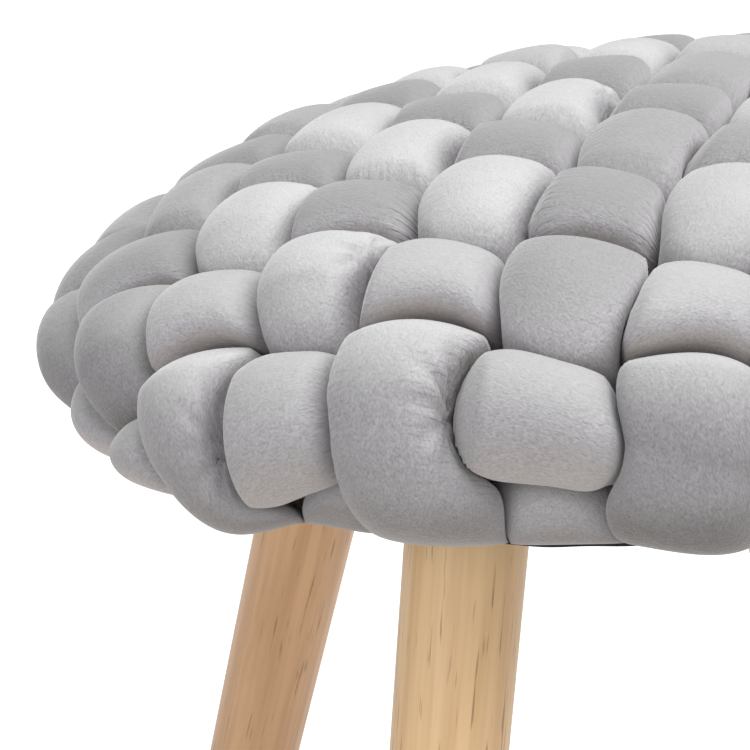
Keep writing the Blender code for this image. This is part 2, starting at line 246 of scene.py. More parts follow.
# ---- finishes ----
@dataclass(frozen=True)
class Velvet:
    """Light grey short-pile velvet, whose brightness goes with the lie of its pile and with painted
    light and shade by the way each part faces.
    """

    nap: Nap
    family: Family
    facing_up: tuple[float, float] = (0.05, 0.98)
    # The undersides get their own painted level and tint: painted shade on most lengthwise tubes,
    # painted light on the crosswise ones.
    facing_down: tuple[float, float] = (-0.8, 0.1)
    up_tint: tuple[float, float] = (1.0, 1.003)
    front_tint: tuple[float, float] = (1.032, 1.035)
    down_tint: tuple[float, float] = (1.10, 0.96)
    patch_scale: float = 30.0
    patch_depth: float = 0.085
    patch_tilt: float = 0.35
    clump_scale: float = 480.0
    clump_depth: float = 0.2
    clump_stretch: float = 0.78
    clump_turn: float = 0.62
    pile_scale: float = 1250.0
    pile_depth: float = 0.33
    pile_height: float = 0.0005
    calm_above: float = 0.6
    roughness: float = 0.92
    waist_scale: float = 520.0
    waist_stretch: float = 0.16
    dive_scale: float = 430.0
    dive_stretch: float = 0.14
    fold_height: float = 0.001

    def material(self) -> Material:
        """Makes the material.

        Returns:
            The velvet.
        """
        paint = Paint(f"{self.family.value}_velvet_{self.nap.name.lower()}")
        up, front, down = self.nap.value
        normal = paint.node("ShaderNodeNewGeometry", {}, {}).outputs["Normal"]
        lift = paint.value("ShaderNodeSeparateXYZ", {}, {0: normal}, "Z")
        along, around = paint.attribute("along"), paint.attribute("around")
        turn = (0, 0, self.clump_turn if self.family is Family.LENGTHWISE else 0.0)
        laid = paint.vector(along, around)
        brushed = paint.mapped(laid, Rotation=turn, Scale=(self.clump_stretch, 1, 1))
        patches = paint.noise(paint.own(), self.patch_scale, 3.0, 0.55, 0.6)
        clumps = paint.noise(brushed, self.clump_scale, 2.0, 0.62, 0.7)
        pile = paint.noise(brushed, self.pile_scale, 1.0, 0.5, 0.3)
        # Painted light and shade: the base colour goes from the front level to the top level and to
        # the underside level by which way the surface faces, partly the pile's lie and partly
        # painted light and shade.
        slope = lift + self.patch_tilt * (patches - 0.5)
        above = slope.ramp(*self.facing_up)
        base = paint.blend(above, grey(front, *self.front_tint), grey(up, *self.up_tint))
        base = paint.blend(slope.ramp(*self.facing_down), grey(down, *self.down_tint), base)
        speckle = self.clump_depth * 2 * (clumps - 0.5) + self.pile_depth * 2 * (pile - 0.5)
        patch = self.patch_depth * 2 * (patches - 0.5)
        shade = 1 + patch + speckle * (1 - self.calm_above * above)
        tone = paint.node("ShaderNodeCombineColor", {}, {0: shade, 1: shade, 2: shade}).outputs[0]
        colour = paint.blend(1.0, base, tone, "MULTIPLY")
        folds = self.folds(paint, along, around)
        relief = paint.bump(clumps * 0.6 + pile * 0.4, self.pile_height, Normal=folds)
        return paint.finish(colour, self.roughness, {
            "Normal": relief, "Sheen Weight": 0.5, "Sheen Roughness": 0.38,
            "Specular IOR Level": 0.1})

    def folds(self, paint: Paint, along: Value, around: Value) -> NodeSocket:
        """Fine gathers that run into the creases.

        Args:
            paint: The material.
            along: Place along the tube.
            around: Place round the tube.

        Returns:
            The normal socket.
        """
        across = paint.vector(along, around * self.waist_stretch)
        lengthwise = paint.vector(along * self.dive_stretch, around)
        waist = paint.noise(across, self.waist_scale, 1.0, 0.4, 0.2).ramp(0.42, 0.6)
        dive = paint.noise(lengthwise, self.dive_scale, 1.0, 0.4, 0.2).ramp(0.42, 0.62)
        height = paint.attribute("waist") * waist + paint.attribute("dive") * dive
        return paint.bump(1 - height, self.fold_height)


@dataclass(frozen=True)
class LegWood:
    """Pale straight-grained hardwood under a satin clear finish, its grain along a leg."""

    name: str
    foot: Vector
    axis: Vector
    light: Colour
    dark: Colour
    pore: Colour = (0.3, 0.16, 0.075)
    stretches: Colour = (0.07, 0.025, 0.05)
    pore_depth: float = 0.00012

    def material(self) -> Material:
        """Makes the material.

        Returns:
            The wood.
        """
        paint = Paint(self.name)
        upright = self.axis.rotation_difference(Vector((0, 0, 1))).to_matrix()
        shift, turn = tuple(-(upright @ self.foot)), tuple(upright.to_euler())
        wide = paint.mapped(paint.own(), Location=shift, Rotation=turn)
        bands_at, lines_at, pores_at = (
            paint.mapped(wide, Scale=(1, 1, stretch)) for stretch in self.stretches)
        bands = paint.noise(bands_at, 95.0, 2.0, 0.5, 0.6)
        lines = paint.noise(lines_at, 420.0, 3.0, 0.6)
        pores = paint.noise(pores_at, 800.0, 1.0, 0.5)
        spread = paint.noise(wide, 60.0, 1.0)
        streak = pores.ramp(0.62, 0.72) * spread.ramp(0.35, 0.6)
        tone = (bands * 0.6 + lines * 0.4).ramp(0.33, 0.68)
        colour = paint.blend(tone, (*self.light, 1), (*self.dark, 1))
        colour = paint.blend(streak * 0.7, colour, (*self.pore, 1))
        relief = paint.bump(1 - streak, self.pore_depth, 0.6)
        return paint.finish(colour, 0.42 + 0.12 * lines, {
            "Normal": relief, "Coat Weight": 0.12, "Coat Roughness": 0.3})


@dataclass(frozen=True)
class PlainCloth:
    """Matt cloth with a fine even weave."""

    name: str
    level: float
    thread: float = 0.0009

    def material(self) -> Material:
        """Makes the material.

        Returns:
            The cloth.
        """
        paint = Paint(self.name)
        where = paint.own()
        grain = paint.noise(where, 0.6 / self.thread, 2.0, 0.6)
        mottle = paint.noise(where, 70.0, 2.0)
        tone = grain * 0.6 + mottle * 0.4
        colour = paint.blend(tone, grey(self.level * 0.6), grey(self.level * 1.5))
        relief = paint.bump(grain, 0.0003)
        return paint.finish(colour, 0.93, {"Normal": relief, "Sheen Weight": 0.1})


@dataclass(frozen=True)
class Board:
    """Plain pale board, seen only at the leg holes and its rim."""

    name: str
    light: Colour = (0.5, 0.34, 0.19)
    dark: Colour = (0.38, 0.25, 0.13)

    def material(self) -> Material:
        """Makes the material.

        Returns:
            The board.
        """
        paint = Paint(self.name)
        along = paint.mapped(paint.own(), Scale=(0.08, 1, 1))
        streaks = paint.noise(along, 300.0, 3.0, 0.6)
        colour = paint.blend(streaks.ramp(0.3, 0.7), (*self.light, 1), (*self.dark, 1))
        return paint.finish(colour, 0.7, {"Normal": paint.bump(streaks, 0.0001)})


# ---- the seat's outline ----
def mix(first: Array, second: Array, share: Array) -> Array:
    """A mix of two numbers, by the share of the second."""
    return first * (1 - share) + second * share


@dataclass(frozen=True)
class Pull:
    """A place where the maker's hands left the weave drawn aside, lifted, or sagging lower."""

    x: float
    y: float
    spread: float
    aside: float = 0.0
    onward: float = 0.0
    lift: float = 0.0
    sag: float = 0.0

    def nearness(self, x: Array, y: Array) -> Array:
        """1 at the pull's middle, fading out round it."""
        return np.exp(-(np.square(x - self.x) + np.square(y - self.y)) / (2 * self.spread ** 2))


@dataclass
class SeatOutline:
    """The seat's rounded outline, and the way the flat weave is draped over it, in metres."""

    rim_height: float = 0.3579
    dome_rise: float = 0.0711
    half_width: float = 0.2017
    half_depth: float = 0.2022
    width_power: float = 2.077
    depth_power: float = 2.473
    rim_drop: float = 0.0334
    rim_power: float = 2.2
    underside_radius: float = 0.1415
    core_radius: float = 0.139
    core_top: float = -0.0076
    core_shoulder: float = -0.0193
    core_foot: float = -0.0361
    weave_depth: float = 0.09
    rim_spread: float = 0.264
    most_gathered: float = 0.56
    side_tilt: float = 0.0344
    front_tilt: float = -0.0221
    pulls: tuple[Pull, ...] = (
        Pull(-0.013, -0.185, 0.024, onward=0.004),
        Pull(0.042, -0.149, 0.03, onward=-0.009),
        Pull(0.08, -0.188, 0.017, onward=0.0055),
        Pull(0.026, -0.226, 0.015, onward=0.003),
        Pull(0.071, -0.225, 0.026, aside=0.009),
        Pull(-0.034, -0.205, 0.018, aside=-0.004),
        Pull(-0.097, -0.172, 0.022, onward=0.004),
        Pull(-0.088, -0.238, 0.022, onward=-0.003, lift=0.002, sag=0.007),
        Pull(0.029, -0.247, 0.017, lift=-0.007, sag=-0.004),
        Pull(-0.053, -0.25, 0.014, lift=-0.007, sag=-0.005),
        Pull(0.08, -0.245, 0.023, lift=0.002, sag=0.0065),
    )
    points: int = 400
    steps: int = 600

    def curves(self, radius: float, power: float) -> tuple[float, Array]:
        """Outer and inner outline in one direction, against the share of arc length.

        Args:
            radius: Middle to rim.
            power: Superellipse power of the dome.

        Returns:
            The arc's length, and rows of outer radius, outer height, inner radius, inner height.
        """
        turn = np.linspace(0, pi / 2, self.points)
        sine, cosine = np.sin(turn), np.cos(turn)
        run, rise = sine ** (2 / power), cosine ** (2 / power)
        drop, tuck = sine[1:] ** (2 / self.rim_power), cosine[1:] ** (2 / self.rim_power)
        base, shoulder = self.underside_radius, self.core_shoulder
        out = np.append(radius * run, base + (radius - base) * tuck)
        high = np.append(self.dome_rise * rise, -self.rim_drop * drop)
        inner = np.append(self.core_radius * run, np.full(self.points - 1, self.core_radius))
        fall = shoulder + (self.core_top - shoulder) * rise
        side = shoulder + (self.core_foot - shoulder) * drop
        arc = np.append(0, np.cumsum(np.hypot(np.diff(out), np.diff(high))))
        even = np.linspace(0, arc[-1], self.steps)
        rows = [np.interp(even, arc, row) for row in (out, high, inner, np.append(fall, side))]
        return float(arc[-1]), np.array(rows)

    def __post_init__(self) -> None:
        """Works out the outline in both directions."""
        spans = ((self.half_width, self.width_power), (self.half_depth, self.depth_power))
        self.lengths, self.tables = zip(*(self.curves(*span) for span in spans))

    def reach(self, angle: Array) -> Array:
        """Arc length from the middle of the seat to the base, in a direction."""
        share = np.cos(angle) ** 2
        return mix(self.lengths[1], self.lengths[0], share)

    def pulled(self, x: Array, y: Array) -> list[Array]:
        """How far the pulls move places of the flat weave.

        Args:
            x: Across the lengthwise tubes.
            y: Along them.

        Returns:
            The moves aside, onward and up, and the sag.
        """
        near = [pull.nearness(x, y) for pull in self.pulls]
        return [
            sum(getattr(pull, move) * share for pull, share in zip(self.pulls, near))
            for move in ("aside", "onward", "lift", "sag")]

    def drape(self, x: Array, y: Array, level: Array) -> Array:
        """Takes places in the flat weave to places on the seat.

        Args:
            x: Across the lengthwise tubes.
            y: Along them.
            level: Height over the weave's outer side, negative inside.

        Returns:
            Points, with X, Y and Z last.
        """
        aside, onward, lift, sag = self.pulled(x, y)
        level = level + lift * (1 - np.clip(-level / self.weave_depth, 0, 1))
        x, y = x + aside, y + onward
        angle = np.arctan2(y, x)
        share = np.cos(angle) ** 2
        reach = self.reach(angle)
        along = np.clip(np.hypot(x, y) / reach, 0, 1) * (self.steps - 1)
        low = np.minimum(along.astype(int), self.steps - 2)
        part = along - low
        wide, deep = (mix(table[:, low], table[:, low + 1], part) for table in self.tables)
        out, high, inner, inner_high = mix(deep, wide, share)
        depth = -level / self.weave_depth
        radius = mix(out, inner, depth)
        height = self.rim_height + high * (1 - depth) + inner_high * depth
        gathered = along / (self.steps - 1) * reach / np.maximum(out, 1e-6) - 1
        spread = self.rim_spread * np.clip(gathered, 0, self.most_gathered)
        angle = angle + spread * np.sin(4 * angle)
        x, y = radius * np.cos(angle), radius * np.sin(angle)
        tilt = (self.side_tilt * x + self.front_tilt * y - sag) * (1 - depth)
        return np.stack([x, y, height + tilt], axis=-1)


# ---- the weave ----
@dataclass(frozen=True)
class FamilySizes:
    """Sizes of one family of tubes in the flat weave, in metres, and the lie of their piles."""

    first: float
    spacing: float
    radius: float
    fullness: float
    knuckle: float
    raised: float
    seed: float
    naps: str
    first_extra: float = 0.0

    def places(self) -> Array:
        """Places of the tubes, across their own direction.

        Returns:
            The places, in order.
        """
        places = self.first + self.spacing * np.arange(len(self.naps))
        places[0] -= self.first_extra
        return places


@dataclass(frozen=True)
class WeaveSizes:
    """Sizes of the flat weave, in metres."""

    lengthwise: FamilySizes = FamilySizes(
        first=-0.1809, spacing=0.042, radius=0.0288, fullness=0.47, knuckle=0.0085,
        raised=-0.0001, seed=0.0, naps="FFPPPTLPSP", first_extra=0.0226)
    crosswise: FamilySizes = FamilySizes(
        first=-0.2042, spacing=0.0501, radius=0.0286, fullness=0.46, knuckle=0.004,
        raised=0.0001, seed=40.0, naps="ESDDDDEDE")
    flatness: float = 0.961
    swing: float = 0.0207
    left_overlap: float = 0.007
    right_overlap: float = 0.0015
    knuckle_fade: float = 0.12
    level: float = -0.043
    edge_growth: float = -0.023
    unevenness: float = 0.0012
    stuffing_unevenness: float = 12.0
    tail_pace: float = 0.28
    tail_margin: float = 0.0085
    press_rounding: float = 0.006
    press_gap: float = 0.0005

    def of(self, family: Family) -> FamilySizes:
        """Sizes of one family."""
        return self.lengthwise if family is Family.LENGTHWISE else self.crosswise


class FlatTube:
    """One stuffed tube of the flat weave, with a table of distances to its centreline."""

    seed_step = 1.7
    end_guess = 0.2
    end_rounds = 8
    waves = ((0.55, 33, 5.1), (0.45, 71, 9.7))
    grid_steps = (620, 150)
    grid_reach = 0.325
    grid_levels = (-0.105, 0.035)
    line_points = 1500
    line_margin = 0.02
    line_window = 1.3

    def __init__(
        self, family: Family, number: int, sizes: WeaveSizes, outline: SeatOutline
    ) -> None:
        """Lays the tube in the flat weave.

        Args:
            family: Lengthwise or crosswise.
            number: Number in its family, from 0.
            sizes: Sizes of the weave.
            outline: Outline of the seat.
        """
        own, others = sizes.of(family), sizes.of(family.other)
        self.family, self.number, self.sizes = family, number, sizes
        self.lengthwise = family is Family.LENGTHWISE
        self.name = f"{family.value}_tube_{number + 1}"
        self.side = float(own.places()[number])
        self.crossed, self.crossing = others.places(), others.spacing
        self.radius, self.fullness, self.knuckle = own.radius, own.fullness, own.knuckle
        self.rest_level = sizes.level + own.raised
        self.seed = self.seed_step * number + own.seed
        self.half_length = self.reach_to_base(outline) - sizes.tail_margin
        self.build_table()

    def reach_to_base(self, outline: SeatOutline) -> float:
        """Distance along the tube from its middle to the edge of the base.

        Args:
            outline: Outline of the seat.

        Returns:
            The distance.
        """
        along = self.end_guess
        for _ in range(self.end_rounds):
            x, y, _ = self.flat(np.array(self.side), np.array(along), None)
            along = sqrt(float(outline.reach(np.arctan2(y, x))) ** 2 - self.side ** 2)
        return along

    def flat(self, across: Any, along: Any, level: Any) -> tuple[Any, Any, Any]:
        """Turns the tube's own directions into the weave's x and y, or back again."""
        places = (across, along) if self.lengthwise else (along, across)
        return (*places, level)

    def crossings(self, along: Array) -> Array:
        """Place along the tube, counted in crossings, slower past the outermost ones."""
        past = (along - np.clip(along, self.crossed[0], self.crossed[-1])) * self.sizes.tail_pace
        return np.interp(along, self.crossed, np.arange(len(self.crossed))) + past / self.crossing

    def swing(self, along: Array) -> Array:
        """1 where the tube is over, -1 where it is under."""
        swing = np.cos(pi * (self.crossings(along) - self.number))
        return swing if self.lengthwise else -swing

    def level(self, along: Array) -> Array:
        """Level of the centreline, with short unders and long overs.

        In front, an over is fuller towards its far end, or its left one on a crosswise tube.

        Args:
            along: Places along the tube.

        Returns:
            The levels.
        """
        swing = self.swing(along)
        level = self.rest_level + self.sizes.swing * (swing + self.fullness * (1 - swing ** 2))
        ahead = self.flat(self.side, along, None)[1]
        lean = self.knuckle * np.clip(-ahead / self.sizes.knuckle_fade, 0, 1)
        turn = pi * (self.crossings(along) - self.number)
        level = level + lean * np.sin(turn) * (1 + swing) / 2
        return level + self.sizes.unevenness * self.drift(along, 2.0)

    def drift(self, along: Array, phase: float) -> Array:
        """A slow, even wander between -1 and 1, different for every tube."""
        start = self.seed + phase
        return sum(size * np.sin(pace * along + step * start) for size, pace, step in self.waves)

    def centre(self, along: Array) -> Array:
        """Place of the centreline across the tube."""
        return self.side + self.sizes.unevenness * self.drift(along, 0.0)

    def full_radius(self, along: Array) -> Array:
        """Radius where nothing presses, a little less at the outermost crossings and past them.

        Args:
            along: Places along the tube.

        Returns:
            The radii.
        """
        sizes = self.sizes
        past = np.maximum(self.crossed[0] - along, along - self.crossed[-1]) / self.crossing
        edge = np.clip(past + 1, 0, 1)
        stuffing = 1 + sizes.stuffing_unevenness * sizes.unevenness * self.drift(along, 4.0)
        return self.radius * stuffing * (1 + sizes.edge_growth * edge * edge * (3 - 2 * edge))

    def build_table(self) -> None:
        """Tabulates the distance to the centreline over place and level."""
        reach = self.grid_reach
        self.grid_along = np.linspace(-reach, reach, self.grid_steps[0])
        self.grid_level = np.linspace(*self.grid_levels, self.grid_steps[1])
        run = np.linspace(-reach - self.line_margin, reach + self.line_margin, self.line_points)
        rise = self.level(run) / self.sizes.flatness
        levels = self.grid_level / self.sizes.flatness
        self.table = np.empty(self.grid_steps)
        for row, along in enumerate(self.grid_along):
            near = np.abs(run - along) < self.line_window * self.crossing
            away = np.hypot(along - run[near][:, None], levels - rise[near][:, None])
            self.table[row] = away.min(axis=0)

    def distance(self, x: Array, y: Array, level: Array) -> Array:
        """Distance of places in the weave to the centreline.

        Args:
            x: Across the lengthwise tubes.
            y: Along them.
            level: Height over the weave's outer side, negative inside.

        Returns:
            The distances.
        """
        across, along, level = self.flat(x, y, level)
        column, row = (
            np.clip((spot - grid[0]) / (grid[1] - grid[0]), 0, len(grid) - 1.001)
            for spot, grid in ((along, self.grid_along), (level, self.grid_level)))
        left, low = column.astype(int), row.astype(int)
        lower, upper = (
            mix(self.table[left, high], self.table[left + 1, high], column - left)
            for high in (low, low + 1))
        return np.hypot(across - self.centre(along), mix(lower, upper, row - low))


def smooth_larger(first: Array, second: Array, rounding: float) -> Array:
    """The larger of two values, with a rounded change-over."""
    blend = np.clip(0.5 + 0.5 * (first - second) / rounding, 0, 1)
    return second + (first - second) * blend + rounding * blend * (1 - blend)


@dataclass(frozen=True)
class Pucker:
    """Gathers that fan out from a pinched place at a tube's side."""

    tube: str
    crossing: int
    angle: float
    shift: float
    spread: float
    folds: int
    depth: float


class TubeSkin:
    """The velvet skin of one tube: rings pressed by the neighbours and draped on the seat."""

    rings = 340
    sides = 72
    halvings = 13
    upper_density = 0.42
    search_margin = 1.1
    neighbour_window = 1.6
    lap_ease = 1.6
    tail_length = 0.021
    gather_width = 0.0045
    gather_size = 0.0007
    waist_ripples = (0.0083, 3, 1.3, 60)
    dive_ripples = (0.0094, 5, 1.1, 45)
    pucker_core = 0.003

    def __init__(self, tube: FlatTube, weave: "Weave") -> None:
        """Works out the skin.

        Args:
            tube: The tube.
            weave: The weave it is part of.
        """
        self.tube, self.weave = tube, weave
        turn = 2 * pi * np.arange(self.sides) / self.sides
        turn = turn - pi / 2 + self.upper_density * np.sin(turn)
        places = tube.half_length * np.linspace(-1, 1, self.rings)
        self.along, self.turn = np.meshgrid(places, turn, indexing="ij")
        self.middle = tube.level(self.along)
        self.sideways = np.cos(self.turn)
        self.upward = np.sin(self.turn) * tube.sizes.flatness
        self.around = self.turn * tube.radius
        self.reach = self.find_room()
        self.note_gathers()
        self.reach = self.reach - self.gather_depth() - self.pucker_depth()
        self.round_tails()

    def at(self, reach: Array) -> tuple[Array, Array, Array]:
        """Places in the flat weave at a distance from the centreline."""
        across = self.tube.centre(self.along) + reach * self.sideways
        return self.tube.flat(across, self.along, self.middle + reach * self.upward)

    def neighbours(self) -> list[tuple[FlatTube, slice]]:
        """The tubes that can press on this one.

        Returns:
            Each tube, with the rings that it can reach.
        """
        found = []
        places = self.along[:, 0]
        for other in self.weave.tubes:
            if other.family is self.tube.family:
                if abs(other.number - self.tube.number) == 1:
                    found.append((other, slice(0, self.rings)))
                continue
            window = self.neighbour_window * self.tube.crossing
            near = np.flatnonzero(np.abs(places - other.side) < window)
            if len(near):
                found.append((other, slice(near[0], near[-1] + 1)))
        return found

    def find_room(self) -> Array:
        """Finds how far the skin reaches from the centreline in each direction.

        Returns:
            The reach of every point.
        """
        sizes = self.tube.sizes
        full = self.tube.full_radius(self.along)
        inside, outside = np.zeros_like(full), self.search_margin * full
        pressing = self.neighbours()
        for _ in range(self.halvings):
            reach = (inside + outside) / 2
            x, y, level = self.at(reach)
            own = self.tube.distance(x, y, level)
            past = own - full
            for other, rows in pressing:
                theirs = other.distance(x[rows], y[rows], level[rows])
                press = (own[rows] - theirs + sizes.press_gap) / 2
                if other.family is not self.tube.family:
                    press = press - self.gain(other, x[rows], y[rows])
                past[rows] = smooth_larger(past[rows], press, sizes.press_rounding)
            free = past < 0
            inside = np.where(free, reach, inside)
            outside = np.where(free, outside, reach)
        return inside

    def gain(self, other: FlatTube, x: Array, y: Array) -> Array:
        """How far the tube pushes its contact with a crossing tube past the middle.

        A lengthwise tube laps over the row end at its left, and less or not at all over the one at
        its right, where some are nipped.

        Args:
            other: The crossing tube.
            x: Places in the weave.
            y: Places in the weave.

        Returns:
            The push, negative where the tube gives way.
        """
        sizes = self.tube.sizes
        own_first = self.tube.lengthwise
        column, row = (self.tube, other) if own_first else (other, self.tube)
        side = np.clip((x - column.side) / column.radius, -1, 1)
        lead = (column.swing(y) - row.swing(x)) / 2
        middle = (sizes.left_overlap + sizes.right_overlap) / 2
        lap = middle - (sizes.left_overlap - sizes.right_overlap) / 2 * side
        lap = lap - self.weave.nips.get((column.number, row.number), 0.0) * np.clip(2 * side, 0, 1)
        lap = lap * np.clip(self.lap_ease * lead, 0, 1)
        return lap if own_first else -lap

    def note_gathers(self) -> None:
        """Notes how strongly the velvet gathers, at waists and where the tube dives."""
        x, y, level = self.at(self.reach)
        own = self.tube.distance(x, y, level)
        self.waist, self.dive = np.zeros_like(own), np.zeros_like(own)
        for other, rows in self.neighbours():
            if other.family is self.tube.family:
                continue
            room = (other.distance(x[rows], y[rows], level[rows]) - own[rows]) / 2
            near = np.exp(-np.square(np.maximum(room, 0) / self.gather_width))
            gathered = self.waist if self.tube.swing(np.array(other.side)) > 0 else self.dive
            gathered[rows] += self.weave.gather_strength(self.tube, other) * near
        self.waist, self.dive = np.clip(self.waist, 0, 1), np.clip(self.dive, 0, 1)

    def ripples(
        self, onward: Array, beside: Array, spacing: float, start: float, wander: float, pace: float
    ) -> Array:
        """Rounded ripples in one direction, which wander in the other."""
        turn = 2 * pi * onward / spacing + start * self.tube.seed
        return np.clip(np.sin(turn + wander * np.sin(pace * beside)), 0, 1)

    def gather_depth(self) -> Array:
        """Depth of the broad gathers beside the creases.

        Returns:
            The depth of every point.
        """
        waist = self.waist * self.ripples(self.along, self.around, *self.waist_ripples)
        dive = self.dive * self.ripples(self.around, self.along, *self.dive_ripples)
        return self.gather_size * (waist + dive)

    def pucker_depth(self) -> Array:
        """Depth of the named puckers.

        Returns:
            The depth of every point.
        """
        depth = np.zeros_like(self.along)
        for spot in self.weave.puckers:
            if spot.tube != self.tube.name:
                continue
            away = self.along - self.tube.crossed[spot.crossing] - spot.shift
            up = (self.turn - radians(spot.angle)) * self.tube.radius
            far = np.hypot(away, up)
            heading = np.arctan2(away, up)
            window = np.exp(-np.square(far / spot.spread)) * np.clip(far / self.pucker_core, 0, 1)
            groove = np.square(0.5 + 0.5 * np.cos(heading * spot.folds))
            depth += spot.depth * window * groove
        return depth

    def round_tails(self) -> None:
        """Rounds off both ends."""
        left = np.clip((self.tube.half_length - np.abs(self.along)) / self.tail_length, 0, 1)
        self.reach = self.reach * np.sqrt(np.clip(1 - (1 - left) ** 2, 0, 1))

    def build(self, outline: SeatOutline) -> Object:
        """Makes the mesh object.

        Args:
            outline: Outline that the skin is draped on.

        Returns:
            The object.
        """
        body = slice(1, self.rings - 1)
        points = outline.drape(*self.at(self.reach))
        poles = points[[0, -1], 0]
        vertices = np.concatenate([points[body].reshape(-1, 3), poles])
        index = np.arange((self.rings - 2) * self.sides).reshape(-1, self.sides)
        beside = np.roll(index, -1, axis=1)
        quads = np.stack([index[:-1], index[1:], beside[1:], beside[:-1]], axis=-1).reshape(-1, 4)
        start, end = len(vertices) - 2, len(vertices) - 1
        caps = [(start, int(a), int(b)) for a, b in zip(index[0], beside[0])]
        caps += [(end, int(b), int(a)) for a, b in zip(index[-1], beside[-1])]
        faces = quads.tolist() + caps
        if not self.tube.lengthwise:
            faces = [tuple(reversed(face)) for face in faces]
        mesh = bpy.data.meshes.new(self.tube.name + "_velvet")
        mesh.from_pydata(vertices.tolist(), [], faces)
        for name in ("along", "around", "waist", "dive"):
            numbers = getattr(self, name)
            flat = np.concatenate([numbers[body].ravel(), numbers[[0, -1], 0]]).astype(np.float32)
            mesh.attributes.new(name, "FLOAT", "POINT").data.foreach_set("value", flat)
        mesh.shade_smooth()
        return add_object(mesh.name, mesh)


@dataclass
class Weave:
    """The over and under weave of stuffed velvet tubes."""

    outline: SeatOutline = field(default_factory=SeatOutline)
    sizes: WeaveSizes = WeaveSizes()
    puckers: tuple[Pucker, ...] = (
        Pucker("lengthwise_tube_5", 0, 45, -0.004, 0.016, 10, 0.0026),
        Pucker("lengthwise_tube_3", 0, 44, -0.003, 0.014, 10, 0.0024),
        Pucker("lengthwise_tube_4", 1, 52, 0.01, 0.012, 8, 0.0024),
        Pucker("lengthwise_tube_5", 4, 50, 0.01, 0.012, 8, 0.002),
    )
    nips: dict[tuple[int, int], float] = field(default_factory=lambda: {
        (4, 0): 0.0045, (2, 0): 0.005, (5, 1): -0.002, (3, 1): 0.003, (2, 2): 0.001,
        (6, 2): 0.002, (5, 3): 0.002, (3, 3): 0.003, (4, 4): 0.004, (7, 1): 0.003,
        (7, 3): 0.001, (8, 4): 0.003, (6, 6): 0.004, (3, 5): 0.003, (2, 6): 0.004,
        (5, 7): 0.003, (8, 2): 0.003, (1, 3): 0.004})
    gathers: dict[tuple[str, str], float] = field(default_factory=lambda: {
        ("crosswise_tube_3", "lengthwise_tube_5"): 1.0,
        ("crosswise_tube_3", "lengthwise_tube_7"): 0.5,
        ("lengthwise_tube_7", "crosswise_tube_1"): 0.05,
        ("lengthwise_tube_5", "crosswise_tube_1"): 0.25})
    least_gather: float = 0.04
    gather_range: float = 0.26
    fill: float = 0.85

    def __post_init__(self) -> None:
        """Lays all the tubes."""
        self.tubes = [
            FlatTube(family, number, self.sizes, self.outline)
            for family in Family for number in range(len(self.sizes.of(family).naps))]

    def gather_strength(self, tube: FlatTube, other: FlatTube) -> float:
        """How strongly the velvet gathers where one tube meets another.

        Args:
            tube: The tube whose skin is looked at.
            other: The tube that it meets.

        Returns:
            The strength, from 0 to 1.
        """
        chance = sin(12.9898 * (tube.seed + 1) + 78.233 * (other.seed + 2)) * 43758.5453
        chance -= floor(chance)
        usual = self.least_gather + self.gather_range * chance ** 4
        return self.gathers.get((tube.name, other.name), usual)

    def nap(self, tube: FlatTube) -> Nap:
        """The lie of a tube's pile."""
        letter = self.sizes.of(tube.family).naps[tube.number]
        return next(nap for nap in Nap if nap.name[0] == letter)

    def build(self) -> None:
        """Makes every tube's skin and dresses it."""
        finishes: dict[tuple[Nap, Family], Material] = {}
        for tube in self.tubes:
            piece = TubeSkin(tube, self).build(self.outline)
            key = (self.nap(tube), tube.family)
            if key not in finishes:
                finishes[key] = Velvet(*key).material()
            piece.data.materials.append(finishes[key])
            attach(piece, BODY)
            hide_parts(tube.name)
            LOG.info("%s: %d faces", piece.name, len(piece.data.polygons))


# ---- the pad and the base ----
def deselect() -> None:
    """Leaves nothing selected."""
    bpy.ops.object.select_all(action="DESELECT")


def apply_modifiers(piece: Object) -> None:
    """Applies a piece's modifiers and its place, turn and size.

    Args:
        piece: The piece.
    """
    deselect()
    piece.select_set(True)
    bpy.context.view_layer.objects.active = piece
    for modifier in list(piece.modifiers):
        bpy.ops.object.modifier_apply(modifier=modifier.name)
    bpy.ops.object.transform_apply(location=True, rotation=True, scale=True)


def circle_point(out: float, angle: float) -> Vector:
    """A flat point at a distance and angle from the middle."""
    return Vector((out * cos(angle), out * sin(angle)))


@dataclass
class SeatPad:
    """The round pad between the weave and the board."""

    radius: float = 0.137
    bottom: float = 0.336
    thickness: float = 0.013
    edge: float = 0.005
    edge_steps: int = 4
    sides: int = 96

    def build(self) -> None:
        """Makes the pad."""
        deselect()
        bpy.ops.mesh.primitive_cylinder_add(
            vertices=self.sides, radius=self.radius, depth=self.thickness,
            location=(0, 0, self.bottom + self.thickness / 2))
        piece = bpy.context.object
        piece.name = piece.data.name = "seat_pad"
        bevel = piece.modifiers.new("edge", "BEVEL")
        bevel.width = self.edge
        bevel.segments = self.edge_steps
        bevel.limit_method = "ANGLE"
        apply_modifiers(piece)
        bpy.ops.object.shade_smooth_by_angle(angle=radians(35))
        piece.data.materials.append(PlainCloth("pad_cloth", 0.1).material())
        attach(piece, BODY)
        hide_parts("seat_core")
        LOG.info("seat_pad built")


